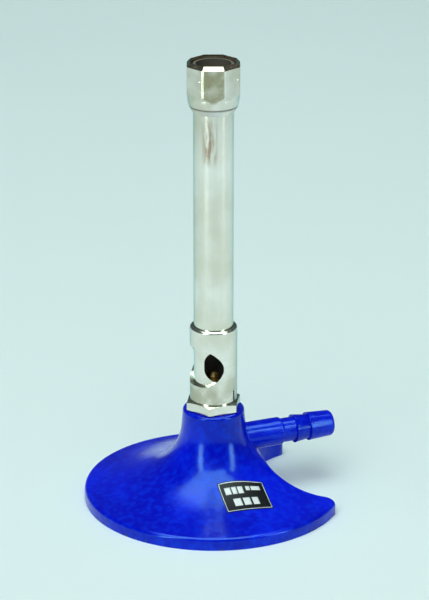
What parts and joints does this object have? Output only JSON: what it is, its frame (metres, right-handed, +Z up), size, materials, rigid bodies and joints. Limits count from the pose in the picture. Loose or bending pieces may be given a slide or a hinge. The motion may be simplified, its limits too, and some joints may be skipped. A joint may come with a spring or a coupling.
{
  "type": "bunsen burner",
  "caption": "Laboratory gas burner with a crescent-notched enamelled foot, barbed hose inlet, plated barrel, turning air collar and octagonal flame head.",
  "frame": {"origin": "middle of the foot's underside, on the barrel's axis", "axes": "+Z up along the barrel, +X out along the gas inlet"},
  "size_m": [0.0897, 0.09, 0.1568],
  "materials": {
    "blue_enamel": "glossy royal blue stove enamel over cast iron",
    "nozzle_enamel": "glossy royal blue stove enamel over brass",
    "seal_fibre": "pressed red fibre sheet",
    "nickel_holder": "bright nickel plate, slightly worn",
    "jet_brass": "turned brass",
    "nickel_barrel": "satin nickel plate with heat stain near the top",
    "nickel_collar": "satin nickel plate",
    "ring_brass": "brass darkened by the flame",
    "nickel_head": "nickel plate, lightly stained by heat",
    "label_face": "black printed label with a thin silver border"
  },
  "bodies": {
    "burner": {"base_casting": "blue_enamel", "gas_nozzle": "nozzle_enamel", "holder_seal": "seal_fibre", "jet_holder": "nickel_holder", "jet_seal": "seal_fibre", "gas_jet": "jet_brass", "barrel": "nickel_barrel", "pilot_ring": "ring_brass", "flame_head": "nickel_head", "label_plate": "label_face"},
    "collar": {"air_collar": "nickel_collar"}
  },
  "joints": [
    {"name": "collar_turn", "type": "hinge", "parent": "burner", "child": "collar", "pos_m": [0, 0, 0.05], "axis": [0, 0, 1], "continuous": true}
  ]
}
